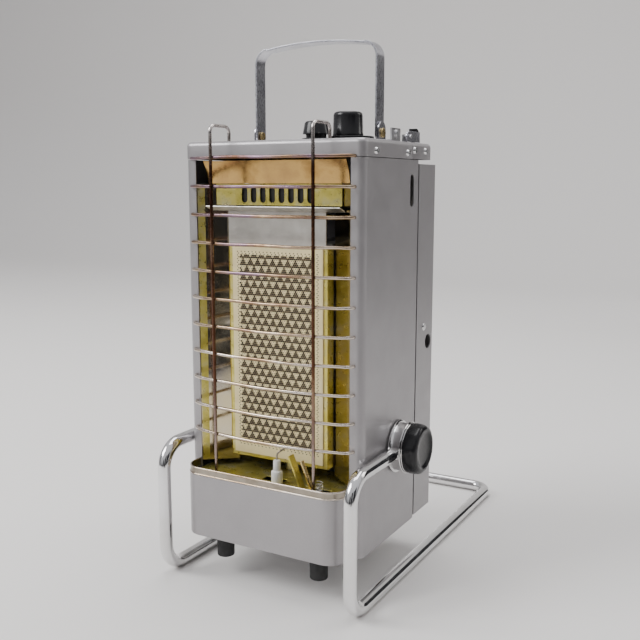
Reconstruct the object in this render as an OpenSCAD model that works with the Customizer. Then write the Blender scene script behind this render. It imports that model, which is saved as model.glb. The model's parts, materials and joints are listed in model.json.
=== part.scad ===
// Portable radiant gas heater: a sheet-metal casing with a ceramic burner plaque behind a wire
// guard, a rear bay for a gas canister, a folding carry handle and a tilting tube stand.
// Front faces -Y, +Z is up, z = 0 is the floor under the stand, x = 0 is the middle of the casing.

/* [Casing] */
// Width of the casing over its sides
body_w = 180; // [170:1:190]
// Depth of the casing without the rear door
body_d = 110; // [104:1:116]
// Height of the casing's underside above the floor
body_z0 = 42; // [38:1:46]
// Height of the casing's upper edge above the floor
body_z1 = 382.5; // [378:0.5:386]
// Thickness of the sheet metal
sheet = 1.2; // [1:0.1:1.6]
// Width of the flanges beside the front opening
flange_w = 12; // [9:0.5:14]
// Radius of the casing's front upright edges
edge_r = 7; // [6:0.5:11]

/* [Base panel] */
// How far the base panel stands forward of the casing
bow = 26; // [22:0.5:30]
// Width of the base panel
base_w = 162; // [158:1:168]
// Radius of the base panel's front corners
bow_r = 17; // [14:0.5:20]
// Height of the base panel's upper edge above the floor
base_z1 = 100; // [96:1:104]
// Height of the bright band on the base panel
band_h = 6; // [4:0.5:8]

/* [Top] */
// Height of the cap over the casing's upper edge
cap_h = 15.5; // [12:0.5:18]
// Depth of the fixed part of the cap
cap_d = 95; // [90:1:100]
// Depth of the rear lid
lid_d = 44; // [40:1:46]

/* [Rear door] */
// Depth of the rear door
door_d = 38; // [34:1:42]
// How far the door may swing back
door_swing = 80; // [60:1:80]

/* [Burner] */
// Width of the ceramic plaque
plaque_w = 93; // [90:1:96]
// Lower edge of the plaque above the floor
plaque_z0 = 116; // [114:1:118]
// Upper edge of the plaque above the floor
plaque_z1 = 306.5; // [300:0.5:308]
// Distance of the plaque's face behind the casing's front
plaque_y = 10; // [8:0.5:14]

/* [Guard] */
// Number of level guard wires
wire_n = 11; // [9:1:12]
// Diameter of the guard wires
wire_d = 3; // [2.6:0.1:3.2]
// Height of the lowest level wire above the floor
wire_z0 = 137; // [130:1:140]
// Distance from one level wire to the next
wire_pitch = 24.65; // [24:0.05:25]
// How far the level wires stand forward of the casing
wire_out = 16.5; // [14:0.5:18]

/* [Handle] */
// Distance between the middles of the handle's two legs
handle_w = 126; // [120:1:130]
// Height of the handle's hinge above the floor
handle_z = 406; // [405.5:0.5:408]
// Height of the handle's top above the floor
handle_top = 489; // [480:1:495]
// Width of the handle's strap
strap_w = 15; // [12:0.5:16]

/* [Controls] */
// Diameter of the control knob
knob_d = 27; // [24:0.5:28]
// Height of the control knob
knob_h = 20.5; // [18:0.5:24]
// Travel of the igniter button
button_travel = 3; // [2:0.5:3.5]

/* [Stand] */
// Diameter of the stand's tube
tube_d = 12; // [11:0.5:12]
// Distance between the middles of the stand's two sides
stand_w = 192.8; // [192.8:0.2:200]
// Distance of the stand's front uprights ahead of the casing
stand_front = 33; // [30:1:36]
// Distance of the stand's rear bar behind the casing's front
stand_rear = 322; // [300:1:340]
// Height of the stand's hinge above the floor
pivot_z = 124.5; // [122:0.5:126]
// Distance of the stand's hinge behind the casing's front
pivot_y = 72; // [68:1:76]
// Radius of the stand's bends, to the middle of the tube
bend_r = 22; // [18:1:26]

/* [Hidden] */
$fn = 48;
// half sizes and the shift that puts the origin at the middle of the stand's footprint
hx = body_w / 2;
tube_r = tube_d / 2;
mid_y = (stand_rear - stand_front) / 2;
cap_z1 = body_z1 + cap_h;
gap = 0.4;
// guard
wire_r = wire_d / 2;
leg_x = hx - flange_w + 0.5;
upright_x = 51;
upright_y = wire_out - wire_d + 0.2;
loop_z = cap_z1 + 13;
loop_back = 13.8;
loop_r = 6;
wire_bow = 225;
wire_a = acos(1 - (wire_out - wire_r - 0.1) / wire_bow);
// handle: a slightly bowed top between two bends
strap_t = 2;
bow_big = 340;
strap_r = 14;
strap_y = 83.5;
bow_a = asin((handle_w / 2 - strap_r) / (bow_big - strap_r));
bow_c = handle_top - bow_big;
leg_top = bow_c + (bow_big - strap_r) * cos(bow_a);
pin_r = 2.5;
ear_r = 7.2;
ear_z = handle_z + 3;
// controls
knob_x = 46.5;
knob_y = 55;
button_x = 30;
button_y = 28;
plate_t = 4;
flange_t = 1.6;
boss_h = 7;
// latch on the lid
lock_x = 84;
lock_z = cap_z1 + 6;
lock_y = 99.5;
lever_l = 25;
// door
door_y = body_d + 2.5;
door_z0 = body_z0 + 2;
door_z1 = body_z1 - 3.5;
hinge_y = door_y + 5;
hinge_z = door_z0 + 5;
canister_r = 34.5;
canister_y = 110;
// stand
hub_r = 22;
hub_x0 = hx + 0.7;
hub_l = 11.9;
hub_lip = 1.6;
clamp_r = 23;
clamp_l = 14.4;
bolt_r = 4;
stand_x = stand_w / 2;
arm_z = pivot_z - 1;
rear_r = 18;
foot_x = 50;
foot_z = 18;
// lid hinge
lid_y = cap_d + 0.2;
lid_z = cap_z1 + 1.7;
lid_barrel = 1.6;
lid_hinge_x = 30;
stem_r = 1.6;
cap_screw_y = [21, 84.5];
cap_screw_z = body_z1 + 5.5;
lid_screw_y = [99.5, 124];
lid_screw_z = body_z1 + 8.2;

module placed() { translate([0, -mid_y, 0]) children(); }
module both() { children(); mirror([1, 0, 0]) children(); }

// flat outline with round front corners, between two lines in Y
module front_round(w, y0, y1, r) {
    translate([-w / 2 + r, y0]) square([w - 2 * r, y1 - y0]);
    translate([-w / 2, y0 + r]) square([w, y1 - y0 - r]);
    intersection() {
        translate([-w / 2, y0]) square([w, y1 - y0]);
        for (s = [-1, 1]) translate([s * (w / 2 - r), y0 + r]) circle(r, $fn = 64);
    }
}
// plate in the XZ plane, front face at y
module wall(x, y, z, w, t, h) { translate([x - w / 2, y, z]) cube([w, t, h]); }
// round bar along X, Y or Z
module bar_x(x, y, z, l, r) { translate([x, y, z]) rotate([0, 90, 0]) cylinder(h = l, r = r); }
module bar_y(x, y, z, l, r) { translate([x, y, z]) rotate([-90, 0, 0]) cylinder(h = l, r = r); }
module bar_z(x, y, z, l, r) { translate([x, y, z]) cylinder(h = l, r = r); }
// quarter bend in the YZ plane and in the XY plane
module bend_yz(x, y, z, big, r, a0) {
    translate([x, y, z]) rotate([90, 0, 90]) rotate([0, 0, a0])
        rotate_extrude(angle = 90) translate([big, 0]) circle(r);
}
module bend_xy(x, y, z, big, r, a0) {
    translate([x, y, z]) rotate([0, 0, a0])
        rotate_extrude(angle = 90) translate([big, 0]) circle(r);
}
// pan-head screw whose head points along +X
module side_screw(x, y, z, r) {
    bar_x(x - 4, y, z, 4, stem_r);
    difference() {
        translate([x, y, z]) rotate([0, 90, 0]) cylinder(h = 1.8, r1 = r, r2 = r * 0.72);
        translate([x + 1, y - r / 2, z - 0.4]) cube([2, r, 0.8]);
        translate([x + 1, y - 0.4, z - r / 2]) cube([2, 0.8, r]);
    }
}

// wrapped sheet: two sides, front flanges, side slots and an open window at the back
module casing_shell() {
    color([0.72, 0.71, 0.73]) placed() difference() {
        translate([0, 0, body_z0]) linear_extrude(body_z1 - body_z0)
            front_round(body_w, 0, body_d, edge_r);
        translate([0, 0, body_z0 - 1]) linear_extrude(body_z1 - body_z0 + 2)
            front_round(body_w - 2 * sheet, sheet, body_d - sheet, edge_r - sheet);
        wall(0, -1, body_z0 - 1, body_w - 2 * flange_w, 4, body_z1 - body_z0 + 2);
        wall(0, body_d - 4, body_z0 + 14, body_w - 24, 8, body_z1 - body_z0 - 28);
        for (s = [-1, 1]) translate([s * hx, 96.5, 0]) {
            for (z = [345, 365.5]) bar_x(-4, 0, z, 8, 4.2);
            translate([-4, -4.2, 345]) cube([8, 8.4, 20.5]);
        }
        bar_x(-hx - 5, pivot_y, pivot_z, body_w + 10, bolt_r + 0.5);
    }
}
module bottom_plate() {
    color([0.6, 0.6, 0.61]) placed() translate([0, 0, body_z0]) linear_extrude(sheet)
        difference() {
            union() {
                front_round(body_w - 2 * sheet - 0.2, sheet + 0.1, body_d - sheet, edge_r - sheet);
                front_round(base_w - 2 * sheet - 0.2, -bow + sheet + 0.1, -0.1, bow_r - sheet);
                translate([-hx + flange_w + 0.5, -1]) square([body_w - 2 * flange_w - 1, 4]);
            }
            for (x = [-40, -20, 0, 20, 40]) translate([x, 60]) circle(6);
        }
}
// deep front tray with large round corners
module base_panel() {
    color([0.72, 0.71, 0.73]) placed() translate([0, 0, body_z0]) difference() {
        linear_extrude(base_z1 - body_z0) front_round(base_w, -bow, 0, bow_r);
        translate([0, 0, -1]) linear_extrude(base_z1 - body_z0 + 2)
            front_round(base_w - 2 * sheet, -bow + sheet, 1, bow_r - sheet);
    }
}
module base_band() {
    in = 0.6;
    color([0.66, 0.62, 0.56]) placed() translate([0, 0, base_z1]) difference() {
        linear_extrude(band_h) front_round(base_w - 2 * in, -bow + in, 0, bow_r - in);
        translate([0, 0, -1]) linear_extrude(band_h + 2)
            front_round(base_w - 2 * in - 2 * sheet, -bow + in + sheet, 1, bow_r - in - sheet);
    }
}
module base_floor() {
    in = 3;
    color([0.7, 0.62, 0.35]) placed() translate([0, 0, base_z1 - 3]) linear_extrude(1)
        difference() {
            union() {
                front_round(base_w - 2 * in, -bow + in, 0, bow_r - in);
                translate([-hx + flange_w + 0.5, -0.1]) square([body_w - 2 * flange_w - 1, 48]);
            }
            translate([34, -12]) square([26, 14]);
            translate([-10, -2]) square([22, 10]);
            translate([0, plaque_y + 30]) circle(9.6);
            translate([60, plaque_y + 36]) circle(3);
        }
}
module top_cap() {
    color([0.74, 0.73, 0.75]) placed() difference() {
        translate([0, 0, body_z1]) linear_extrude(cap_h)
            front_round(body_w + 1, 0, cap_d, edge_r);
        translate([0, 0, body_z1 - 1]) linear_extrude(cap_h + 1 - sheet)
            front_round(body_w + 1 - 2 * sheet, sheet, cap_d + 1, edge_r - sheet);
        bar_z(knob_x, knob_y, cap_z1 - 3, 6, 6);
        bar_z(button_x, button_y, cap_z1 - 3, 6, 6.2);
        both() for (y = cap_screw_y) bar_x(hx - 5, y, cap_screw_z, 8, stem_r);
    }
}
module cap_screws() {
    color("silver") placed() both() for (y = cap_screw_y) side_screw(hx + 0.5, y, cap_screw_z, 3.2);
}
// bright sheets that flare from the burner to the front flanges
module side_reflectors() {
    h = body_z1 - 25.5 - base_z1;
    color([0.8, 0.76, 0.6]) placed() both() translate([0, 0, base_z1 + 4]) linear_extrude(h)
        polygon([[51.3, 24.4], [51.3, 23.2], [leg_x + 0.4, 1.6], [leg_x + 1.4, 2.2], [52.3, 24.4]]);
}
module burner_box() {
    color([0.55, 0.55, 0.56]) placed() difference() {
        wall(0, plaque_y + 13, plaque_z0 - 4, plaque_w + 6, 32, plaque_z1 - plaque_z0 + 8);
        wall(0, plaque_y + 12, plaque_z0, plaque_w - 2, 31.5, plaque_z1 - plaque_z0);
        bar_z(0, plaque_y + 30, plaque_z0 - 6, 8, 9);
    }
}
module ceramic_plaque() {
    color([0.93, 0.86, 0.66]) placed()
        wall(0, plaque_y, plaque_z0, plaque_w, 12.6, plaque_z1 - plaque_z0);
}
module plaque_frame() {
    color([0.78, 0.72, 0.5]) placed() difference() {
        wall(0, plaque_y + 1.5, plaque_z0 - 3.5, plaque_w + 8, 11, plaque_z1 - plaque_z0 + 4);
        wall(0, plaque_y - 1, plaque_z0 - 0.2, plaque_w + 0.4, 16, plaque_z1 - plaque_z0 + 8);
    }
}
// plain plate over the plaque
module upper_plate() {
    color([0.7, 0.69, 0.66]) placed() wall(0, plaque_y - 0.5, plaque_z1 + 0.8, 100, 1.2, 30.2);
}
// lip that throws the hot air forward
module flue_ledge() {
    z = plaque_z1 + 31;
    color([0.75, 0.73, 0.68]) placed() translate([-68, 0, z]) rotate([90, 0, 90])
        linear_extrude(136) polygon([[0, 3.6], [0.4, 4.6], [plaque_y - 0.7, 1.2], [plaque_y - 0.7, 0]]);
}
module slot_plate() {
    z = plaque_z1 + 35.2;
    color([0.78, 0.7, 0.3]) placed() difference() {
        wall(0, plaque_y + 1.5, z + 1, 128, 1, 18.6);
        for (i = [0 : 7]) translate([(i - 3.5) * 9.6, 0, 0]) {
            wall(0, 0, z + 6, 6, 30, 8);
            for (e = [6, 14]) bar_y(0, 0, z + e, 30, 3);
        }
    }
}
module top_reflector() {
    z = plaque_z1 + 55;
    color([0.72, 0.55, 0.3]) placed() translate([-72, 0, z]) rotate([90, 0, 90])
        linear_extrude(144) polygon([[plaque_y + 1.5, 0], [plaque_y - 0.5, 10], [4, 19.6], [3, 19.6],
            [plaque_y - 1.6, 9.6], [plaque_y + 0.5, 0]]);
}
module igniter_insulator() {
    color("white") placed() translate([8.5, -5, base_z1 - 2]) {
        cylinder(h = 12, r = 5.2);
        cylinder(h = 22, r = 3.4);
    }
}
module igniter_electrode() {
    color([0.3, 0.28, 0.25]) placed() {
        bar_z(8.5, -5, base_z1 + 20, 7, 0.9);
        translate([8.5, -5, base_z1 + 26.4]) rotate([-50, 25, 0]) cylinder(h = 9, r = 0.9);
    }
}
module sensor_bracket() {
    color([0.7, 0.62, 0.4]) placed() translate([35, -2, base_z1 - 2]) rotate([90, 0, 0])
        linear_extrude(8) polygon([[-2, 0], [8, 0], [8, 1.2], [0.6, 1.2], [-11, 29], [-12.4, 28.4],
            [-1.2, 1.2], [-2, 1.2]]);
}
module sensor_rod() {
    color([0.75, 0.65, 0.35]) placed() translate([45, -6, base_z1 - 0.6])
        rotate([0, -24, 0]) cylinder(h = 26, r = 2);
}
module mixing_tube() {
    color([0.6, 0.58, 0.55]) placed() difference() {
        bar_z(0, plaque_y + 30, base_z1 - 34, plaque_z0 - 4 - base_z1 + 34, 8.9);
        bar_z(0, plaque_y + 30, base_z1 - 35, plaque_z0 - base_z1 + 40, 7.7);
    }
}
module gas_nozzle() {
    color("gold") placed() translate([0, plaque_y + 30, base_z1 - 52]) {
        cylinder(h = 8, r = 7, $fn = 6);
        translate([0, 0, 8]) cylinder(h = 12, r = 3);
    }
}
module gas_pipe() {
    y = plaque_y + 30;
    z = base_z1 - 48;
    color([0.75, 0.48, 0.3]) placed() {
        bar_x(7.1, y, z, 52.9, 2);
        bend_yz(60, y, z + 6, 6, 2, 270);
        bar_x(59, y, z, 1, 2);
        bar_z(60, y + 6, z + 6, cap_z1 - 50 - z - 6, 2);
    }
}
module gas_valve() {
    color([0.7, 0.66, 0.55]) placed() {
        wall(knob_x, knob_y - 14, cap_z1 - 50, 34, 30, 22);
        bar_z(knob_x, knob_y, cap_z1 - 28, 24, 9);
        bar_z(knob_x, knob_y, cap_z1 - 4, 14, 3);
    }
}
module valve_plate() {
    color([0.08, 0.08, 0.09]) placed() difference() {
        bar_z(knob_x + 2, knob_y + 2, cap_z1, plate_t, 20);
        bar_z(knob_x, knob_y, cap_z1 - 1, plate_t + 2, 6);
    }
}
module piezo_unit() {
    color([0.85, 0.83, 0.78]) placed() bar_z(button_x, button_y, cap_z1 - 44, 34, 6);
}
module button_collar() {
    color([0.08, 0.08, 0.09]) placed() difference() {
        union() {
            bar_z(button_x, button_y, cap_z1, flange_t, 12.4);
            bar_z(button_x, button_y, cap_z1, boss_h, 8.8);
        }
        bar_z(button_x, button_y, cap_z1 - 1, boss_h + 2, 6.2);
    }
}
module control_knob() {
    color([0.06, 0.06, 0.07]) placed() translate([knob_x, knob_y, cap_z1 + plate_t + gap])
        difference() {
            union() {
                cylinder(h = knob_h - 2, r1 = knob_d / 2, r2 = knob_d / 2 - 0.6);
                translate([0, 0, knob_h - 2]) cylinder(h = 2, r1 = knob_d / 2 - 0.6, r2 = knob_d / 2 - 2);
            }
            translate([0, 0, -1]) cylinder(h = 16, r = 3.06);
            translate([-0.8, -knob_d / 2, knob_h - 1]) cube([1.6, 9, 2]);
        }
}
module igniter_button() {
    color([0.07, 0.07, 0.08]) placed() translate([button_x, button_y, cap_z1]) {
        difference() {
            translate([0, 0, flange_t + button_travel + gap]) cylinder(h = 11, r1 = 11.6, r2 = 9.6);
            translate([0, 0, -1]) cylinder(h = boss_h + button_travel + gap + 1, r = 9.1);
        }
        translate([0, 0, -6]) cylinder(h = boss_h + button_travel + 8, r = 6.1);
    }
}
module canister_cradle() {
    color([0.62, 0.62, 0.63]) placed() translate([0, 0, body_z0 + 30]) difference() {
        translate([0, canister_y, 0]) cylinder(h = 240, r = canister_r + 1.2, $fn = 96);
        translate([0, canister_y, 1.2]) cylinder(h = 240, r = canister_r, $fn = 96);
        translate([-60, body_d - sheet, -1]) cube([120, 80, 260]);
    }
}
module regulator() {
    color([0.66, 0.64, 0.6]) placed() {
        translate([0, 86, 334]) cylinder(h = 26, r = 14);
        translate([0, 86, 324]) cylinder(h = 10, r = 9);
        wall(28, 78, 340, 30, 16, 12);
    }
}
// level wires, each bent back into the flanges at both ends
module guard_wires() {
    color([0.62, 0.55, 0.46]) placed() for (i = [0 : wire_n - 1]) {
        z = wire_z0 + i * wire_pitch;
        translate([0, wire_bow - wire_out, z]) rotate([0, 0, 270 - wire_a])
            rotate_extrude(angle = 2 * wire_a, $fn = 240)
                translate([wire_bow, 0]) circle(wire_r, $fn = 32);
    }
}
// upright wires that loop over the cap's front edge
module guard_uprights() {
    z0 = base_z1 - 2;
    z1 = loop_z - loop_r;
    color([0.3, 0.2, 0.14]) placed() for (s = [-1, 1]) {
        x = s * upright_x;
        bar_z(x, -upright_y, z0, z1 - z0, wire_r);
        bend_yz(x, -upright_y + loop_r, z1, loop_r, wire_r, 90);
        bar_y(x, -upright_y + loop_r, loop_z, upright_y + loop_back - 2 * loop_r, wire_r);
        bend_yz(x, loop_back - loop_r, z1, loop_r, wire_r, 0);
        bar_z(x, loop_back, cap_z1, z1 - cap_z1, wire_r);
    }
}
module handle_ears() {
    color([0.74, 0.7, 0.6]) placed() both()
        translate([handle_w / 2 + strap_t / 2 + gap, 0, 0]) difference() {
            union() {
                translate([0, strap_y - ear_r, cap_z1]) cube([1.6, 2 * ear_r, ear_z - cap_z1]);
                bar_x(0, strap_y, ear_z, 1.6, ear_r);
                translate([0, strap_y - ear_r, cap_z1]) cube([9, 2 * ear_r, 1.4]);
            }
            bar_x(-1, strap_y, handle_z, 4, pin_r);
        }
}
module handle_pins() {
    x = handle_w / 2 - strap_t / 2 - 1.6;
    color("silver") placed() both() {
        bar_x(x, strap_y, handle_z, strap_t + gap + 4.4, pin_r);
        bar_x(handle_w / 2 + strap_t / 2 + gap + 1.6, strap_y, handle_z, 1.6, 4.2);
        bar_x(x - 0.2, strap_y, handle_z, 1.2, 4.2);
    }
}
// flat outline of a bent strap: a ring cut to a wedge from angle a0 to a1, measured from upright
module strap_arc(x, z, big, a0, a1) {
    far = 2 * big;
    translate([x, z]) intersection() {
        difference() {
            circle(big, $fn = 128);
            circle(big - strap_t, $fn = 128);
        }
        polygon([[0, 0], [far * sin(a0), far * cos(a0)], [far * sin(a1), far * cos(a1)]]);
    }
}
module carry_handle() {
    outer = handle_w / 2 + strap_t / 2;
    big = strap_r + strap_t / 2;
    color([0.72, 0.72, 0.74]) placed() difference() {
        union() {
            translate([0, strap_y + strap_w / 2, 0]) rotate([90, 0, 0]) linear_extrude(strap_w) {
                strap_arc(0, bow_c, bow_big, -bow_a, bow_a);
                both() {
                    strap_arc(outer - big, leg_top, big, bow_a, 50);
                    strap_arc(outer - big, leg_top, big, 50, 90);
                    translate([outer - strap_t, handle_z]) square([strap_t, leg_top - handle_z]);
                }
            }
            both() bar_x(outer - strap_t, strap_y, handle_z, strap_t, strap_w / 2 + 0.2);
        }
        bar_x(-handle_w, strap_y, handle_z, 2 * handle_w, pin_r + 0.06);
    }
}
// fixed tab with a cross-head screw beside the latch
module lock_tab() {
    color([0.74, 0.73, 0.72]) placed() {
        difference() {
            translate([lock_x - 0.8, 63, cap_z1]) cube([1.6, 18, 11]);
            bar_x(lock_x - 4, 72, lock_z, 8, stem_r);
        }
        translate([lock_x - 8, 63, cap_z1]) cube([7.2, 18, 1.2]);
        side_screw(lock_x + 0.8, 72, lock_z, 4);
    }
}
module rear_lid() {
    y0 = cap_d + gap;
    color([0.74, 0.73, 0.75]) placed() difference() {
        translate([-hx - 0.5, y0, body_z1 + gap]) cube([body_w + 1, lid_d, cap_h - gap]);
        translate([-hx - 0.5 + sheet, y0 - 1, body_z1 - 3])
            cube([body_w + 1 - 2 * sheet, lid_d + 1 - sheet, cap_h + 3 - sheet]);
        both() for (y = lid_screw_y) bar_x(hx - 5, y, lid_screw_z, 8, stem_r);
    }
}
module lid_screws() {
    color("silver") placed() both() for (y = lid_screw_y) side_screw(hx + 0.5, y, lid_screw_z, 3.2);
}
// fixed halves of the lid's two hinges, each with its pin
module lid_hinges() {
    color("silver") placed() both() translate([lid_hinge_x, lid_y, 0]) {
        for (x = [-10, 5]) {
            bar_x(x, 0, lid_z, 5, lid_barrel);
            translate([x, -9, cap_z1]) cube([5, 8.6, 1]);
        }
        bar_x(-8, 0, lid_z, 16, 0.8);
    }
}
module lid_knuckles() {
    color("silver") placed() both() translate([lid_hinge_x, lid_y, 0]) difference() {
        union() {
            bar_x(-4.8, 0, lid_z, 9.6, lid_barrel);
            translate([-4.8, 0.6, cap_z1]) cube([9.6, 9, 1]);
        }
        bar_x(-6, 0, lid_z, 12, 0.86);
    }
}
module lock_pin() {
    color("silver") placed() {
        translate([lock_x - 4.6, lock_y - 3.6, cap_z1]) cube([1.6, 8, 7]);
        bar_x(lock_x - 4.6, lock_y, lock_z - 1, 8, 1.6);
    }
}
module lock_lever() {
    color([0.68, 0.68, 0.69]) placed() difference() {
        union() {
            bar_x(lock_x - 0.8, lock_y, lock_z - 1, 1.6, 4.4);
            translate([lock_x - 0.8, lock_y, cap_z1 + 0.6]) cube([1.6, lever_l, 9.4]);
        }
        bar_x(lock_x - 3, lock_y, lock_z - 1, 6, 1.65);
    }
}
module lock_hook() {
    color([0.06, 0.06, 0.07]) placed()
        translate([lock_x - 8.8, lock_y + lever_l - 4, cap_z1 + 1]) rotate([90, 0, 90])
            linear_extrude(8) {
                translate([4, 0]) square([2.2, 6]);
                translate([0, 6]) intersection() {
                    difference() {
                        circle(6.2);
                        circle(4);
                    }
                    square(7);
                }
            }
}
module clamp_bolts() {
    color("silver") placed() both() {
        bar_x(hx - 12, pivot_y, pivot_z, 12 + hub_x0 - hx + hub_l + 6, bolt_r);
        bar_x(hx - 12, pivot_y, pivot_z, 12 - sheet, 8);
    }
}
module clamp_washers() {
    color([0.2, 0.2, 0.2]) placed() both() difference() {
        bar_x(hx, pivot_y, pivot_z, 0.4, 20);
        bar_x(hx - 1, pivot_y, pivot_z, 4, bolt_r);
    }
}
// drum with a lip at each end
module hub_body() {
    bar_x(hub_x0, pivot_y, pivot_z, hub_l, hub_r);
    bar_x(hub_x0, pivot_y, pivot_z, hub_lip, hub_r + 2);
    bar_x(hub_x0 + hub_l - hub_lip, pivot_y, pivot_z, hub_lip, hub_r + 1.5);
}
module stand_hubs() {
    color([0.75, 0.75, 0.76]) placed() both() difference() {
        hub_body();
        bar_x(hub_x0 - 1, pivot_y, pivot_z, hub_l + 2, bolt_r + 0.08);
    }
}
// one bent tube: arm, front upright, floor runner and rear bar
module stand_tube() {
    y1 = -stand_front + bend_r;
    x = stand_x;
    arm_y = pivot_y - hub_r + 4;
    color([0.82, 0.82, 0.83]) placed() {
        both() {
            difference() {
                bar_y(x, y1, arm_z, arm_y - y1, tube_r);
                bar_x(hub_x0 - 5, pivot_y, pivot_z, hub_l + 10, hub_r + 2);
            }
            bend_yz(x, y1, arm_z - bend_r, bend_r, tube_r, 90);
            bar_z(x, -stand_front, tube_r + bend_r, arm_z - tube_r - 2 * bend_r, tube_r);
            bend_yz(x, y1, tube_r + bend_r, bend_r, tube_r, 180);
            bar_y(x, y1, tube_r, stand_rear - rear_r - y1, tube_r);
            bend_xy(x - rear_r, stand_rear - rear_r, tube_r, rear_r, tube_r, 0);
        }
        bar_x(-x + rear_r, stand_rear, tube_r, 2 * (x - rear_r), tube_r);
    }
}
// clamp knob for the right side, mirrored for the left
module clamp_knob() {
    x0 = hub_x0 + hub_l + gap;
    difference() {
        union() {
            bar_x(x0, pivot_y, pivot_z, 1.4, clamp_r);
            bar_x(x0 + 1.4, pivot_y, pivot_z, clamp_l - 4.4, clamp_r - 0.8);
            translate([x0 + clamp_l - 3, pivot_y, pivot_z]) rotate([0, 90, 0])
                cylinder(h = 3, r1 = clamp_r - 0.8, r2 = clamp_r - 4);
        }
        bar_x(x0 - 1, pivot_y, pivot_z, 8, bolt_r + 0.06);
        for (i = [0 : 23]) translate([x0 + 1.4, pivot_y, pivot_z]) rotate([i * 15, 0, 0])
            translate([0, 0, clamp_r - 0.2]) rotate([0, 90, 0]) cylinder(h = clamp_l, r = 1.1, $fn = 16);
    }
}
module clamp_knob_right() { color([0.05, 0.05, 0.06]) placed() clamp_knob(); }
module clamp_knob_left() { color([0.05, 0.05, 0.06]) placed() mirror([1, 0, 0]) clamp_knob(); }
module feet() {
    color([0.06, 0.06, 0.06]) placed() for (s = [-1, 1], y = [-3, 98]) {
        bar_z(s * foot_x, y, foot_z, 5, 8);
        translate([s * foot_x, y, foot_z + 5]) cylinder(h = body_z0 - foot_z - 5, r1 = 8, r2 = 8.6);
    }
}
module door_hinge_pins() {
    color("silver") placed() both() {
        bar_x(hx - 16, hinge_y, hinge_z, 13, 2);
        translate([hx - 18, body_d, hinge_z - 4]) cube([2, hinge_y - body_d + 4, 8]);
    }
}
// tray-shaped door, hung on two pins near its lower edge
module rear_door() {
    color([0.7, 0.69, 0.71]) placed() difference() {
        translate([-hx, door_y, door_z0]) cube([body_w, door_d, door_z1 - door_z0]);
        translate([-hx + sheet, door_y - 1, door_z0 + sheet])
            cube([body_w - 2 * sheet, door_d + 1 - sheet, door_z1 - door_z0 - 2 * sheet]);
        for (s = [-1, 1]) {
            bar_x(s * hx - 4, 140, 211, 8, 7);
            bar_x(s * hx - 4, 129, 226.5, 8, 1.8);
        }
        for (s = [-1, 1]) translate([s * (hx - 17) - 2.6, door_y - 1, door_z0 - 1]) cube([5.2, 13, 13]);
        for (i = [0 : 5]) wall(0, 130, 90 + i * 40, 70, 40, 6);
    }
    color([0.7, 0.69, 0.71]) placed() both() difference() {
        bar_x(hx - 10, hinge_y, hinge_z, 10 - sheet, 4);
        bar_x(hx - 20, hinge_y, hinge_z, 18, 2.06);
    }
}
module door_studs() {
    color("silver") placed() both() {
        translate([hx, 129, 226.5]) rotate([0, 90, 0]) cylinder(h = 1.4, r1 = 4, r2 = 2.6);
        bar_x(hx - 3, 129, 226.5, 3, 1.8);
    }
}

casing_shell();
bottom_plate();
base_panel();
base_band();
base_floor();
top_cap();
cap_screws();
side_reflectors();
burner_box();
ceramic_plaque();
plaque_frame();
upper_plate();
flue_ledge();
slot_plate();
top_reflector();
igniter_insulator();
igniter_electrode();
sensor_bracket();
sensor_rod();
mixing_tube();
gas_nozzle();
gas_pipe();
gas_valve();
valve_plate();
piezo_unit();
button_collar();
canister_cradle();
regulator();
guard_wires();
guard_uprights();
handle_ears();
handle_pins();
lock_tab();
clamp_bolts();
clamp_washers();
feet();
door_hinge_pins();
lid_hinges();
control_knob();
igniter_button();
carry_handle();
rear_lid();
lid_screws();
lid_knuckles();
lock_pin();
lock_lever();
lock_hook();
rear_door();
door_studs();
stand_tube();
stand_hubs();
clamp_knob_right();
clamp_knob_left();
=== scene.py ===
"""Looks of a portable radiant gas heater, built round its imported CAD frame."""
import json
import math
import random

import bmesh
import bpy
from mathutils import Matrix, Vector


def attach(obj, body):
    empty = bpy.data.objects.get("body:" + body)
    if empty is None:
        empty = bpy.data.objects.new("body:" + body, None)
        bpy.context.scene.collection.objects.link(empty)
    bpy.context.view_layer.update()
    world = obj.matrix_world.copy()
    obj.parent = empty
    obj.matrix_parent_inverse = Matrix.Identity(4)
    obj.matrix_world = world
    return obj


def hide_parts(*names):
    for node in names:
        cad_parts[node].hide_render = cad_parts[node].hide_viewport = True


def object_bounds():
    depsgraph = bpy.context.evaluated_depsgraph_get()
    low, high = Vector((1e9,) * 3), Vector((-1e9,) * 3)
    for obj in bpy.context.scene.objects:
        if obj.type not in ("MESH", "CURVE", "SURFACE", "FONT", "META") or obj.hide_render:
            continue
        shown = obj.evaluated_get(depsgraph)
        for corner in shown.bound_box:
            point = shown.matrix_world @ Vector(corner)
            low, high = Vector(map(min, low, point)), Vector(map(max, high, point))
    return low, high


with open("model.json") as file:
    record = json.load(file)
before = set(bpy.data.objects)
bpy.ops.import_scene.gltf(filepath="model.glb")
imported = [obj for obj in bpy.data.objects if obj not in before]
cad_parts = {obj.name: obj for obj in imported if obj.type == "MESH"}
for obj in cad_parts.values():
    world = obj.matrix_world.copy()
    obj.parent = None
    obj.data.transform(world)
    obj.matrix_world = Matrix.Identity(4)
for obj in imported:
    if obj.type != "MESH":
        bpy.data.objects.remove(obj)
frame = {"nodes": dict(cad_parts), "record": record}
CAD_LOW, CAD_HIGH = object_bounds()
NODES = frame["nodes"]
MM = 0.001


# ---------------------------------------------------------------- camera and light
CAMERA_AZIMUTH = 29.49
CAMERA_PITCH = 9.0
CAMERA_PLACE = (0.4011, -0.7662, 0.3608)
CAMERA_LENS = 48.2


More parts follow.
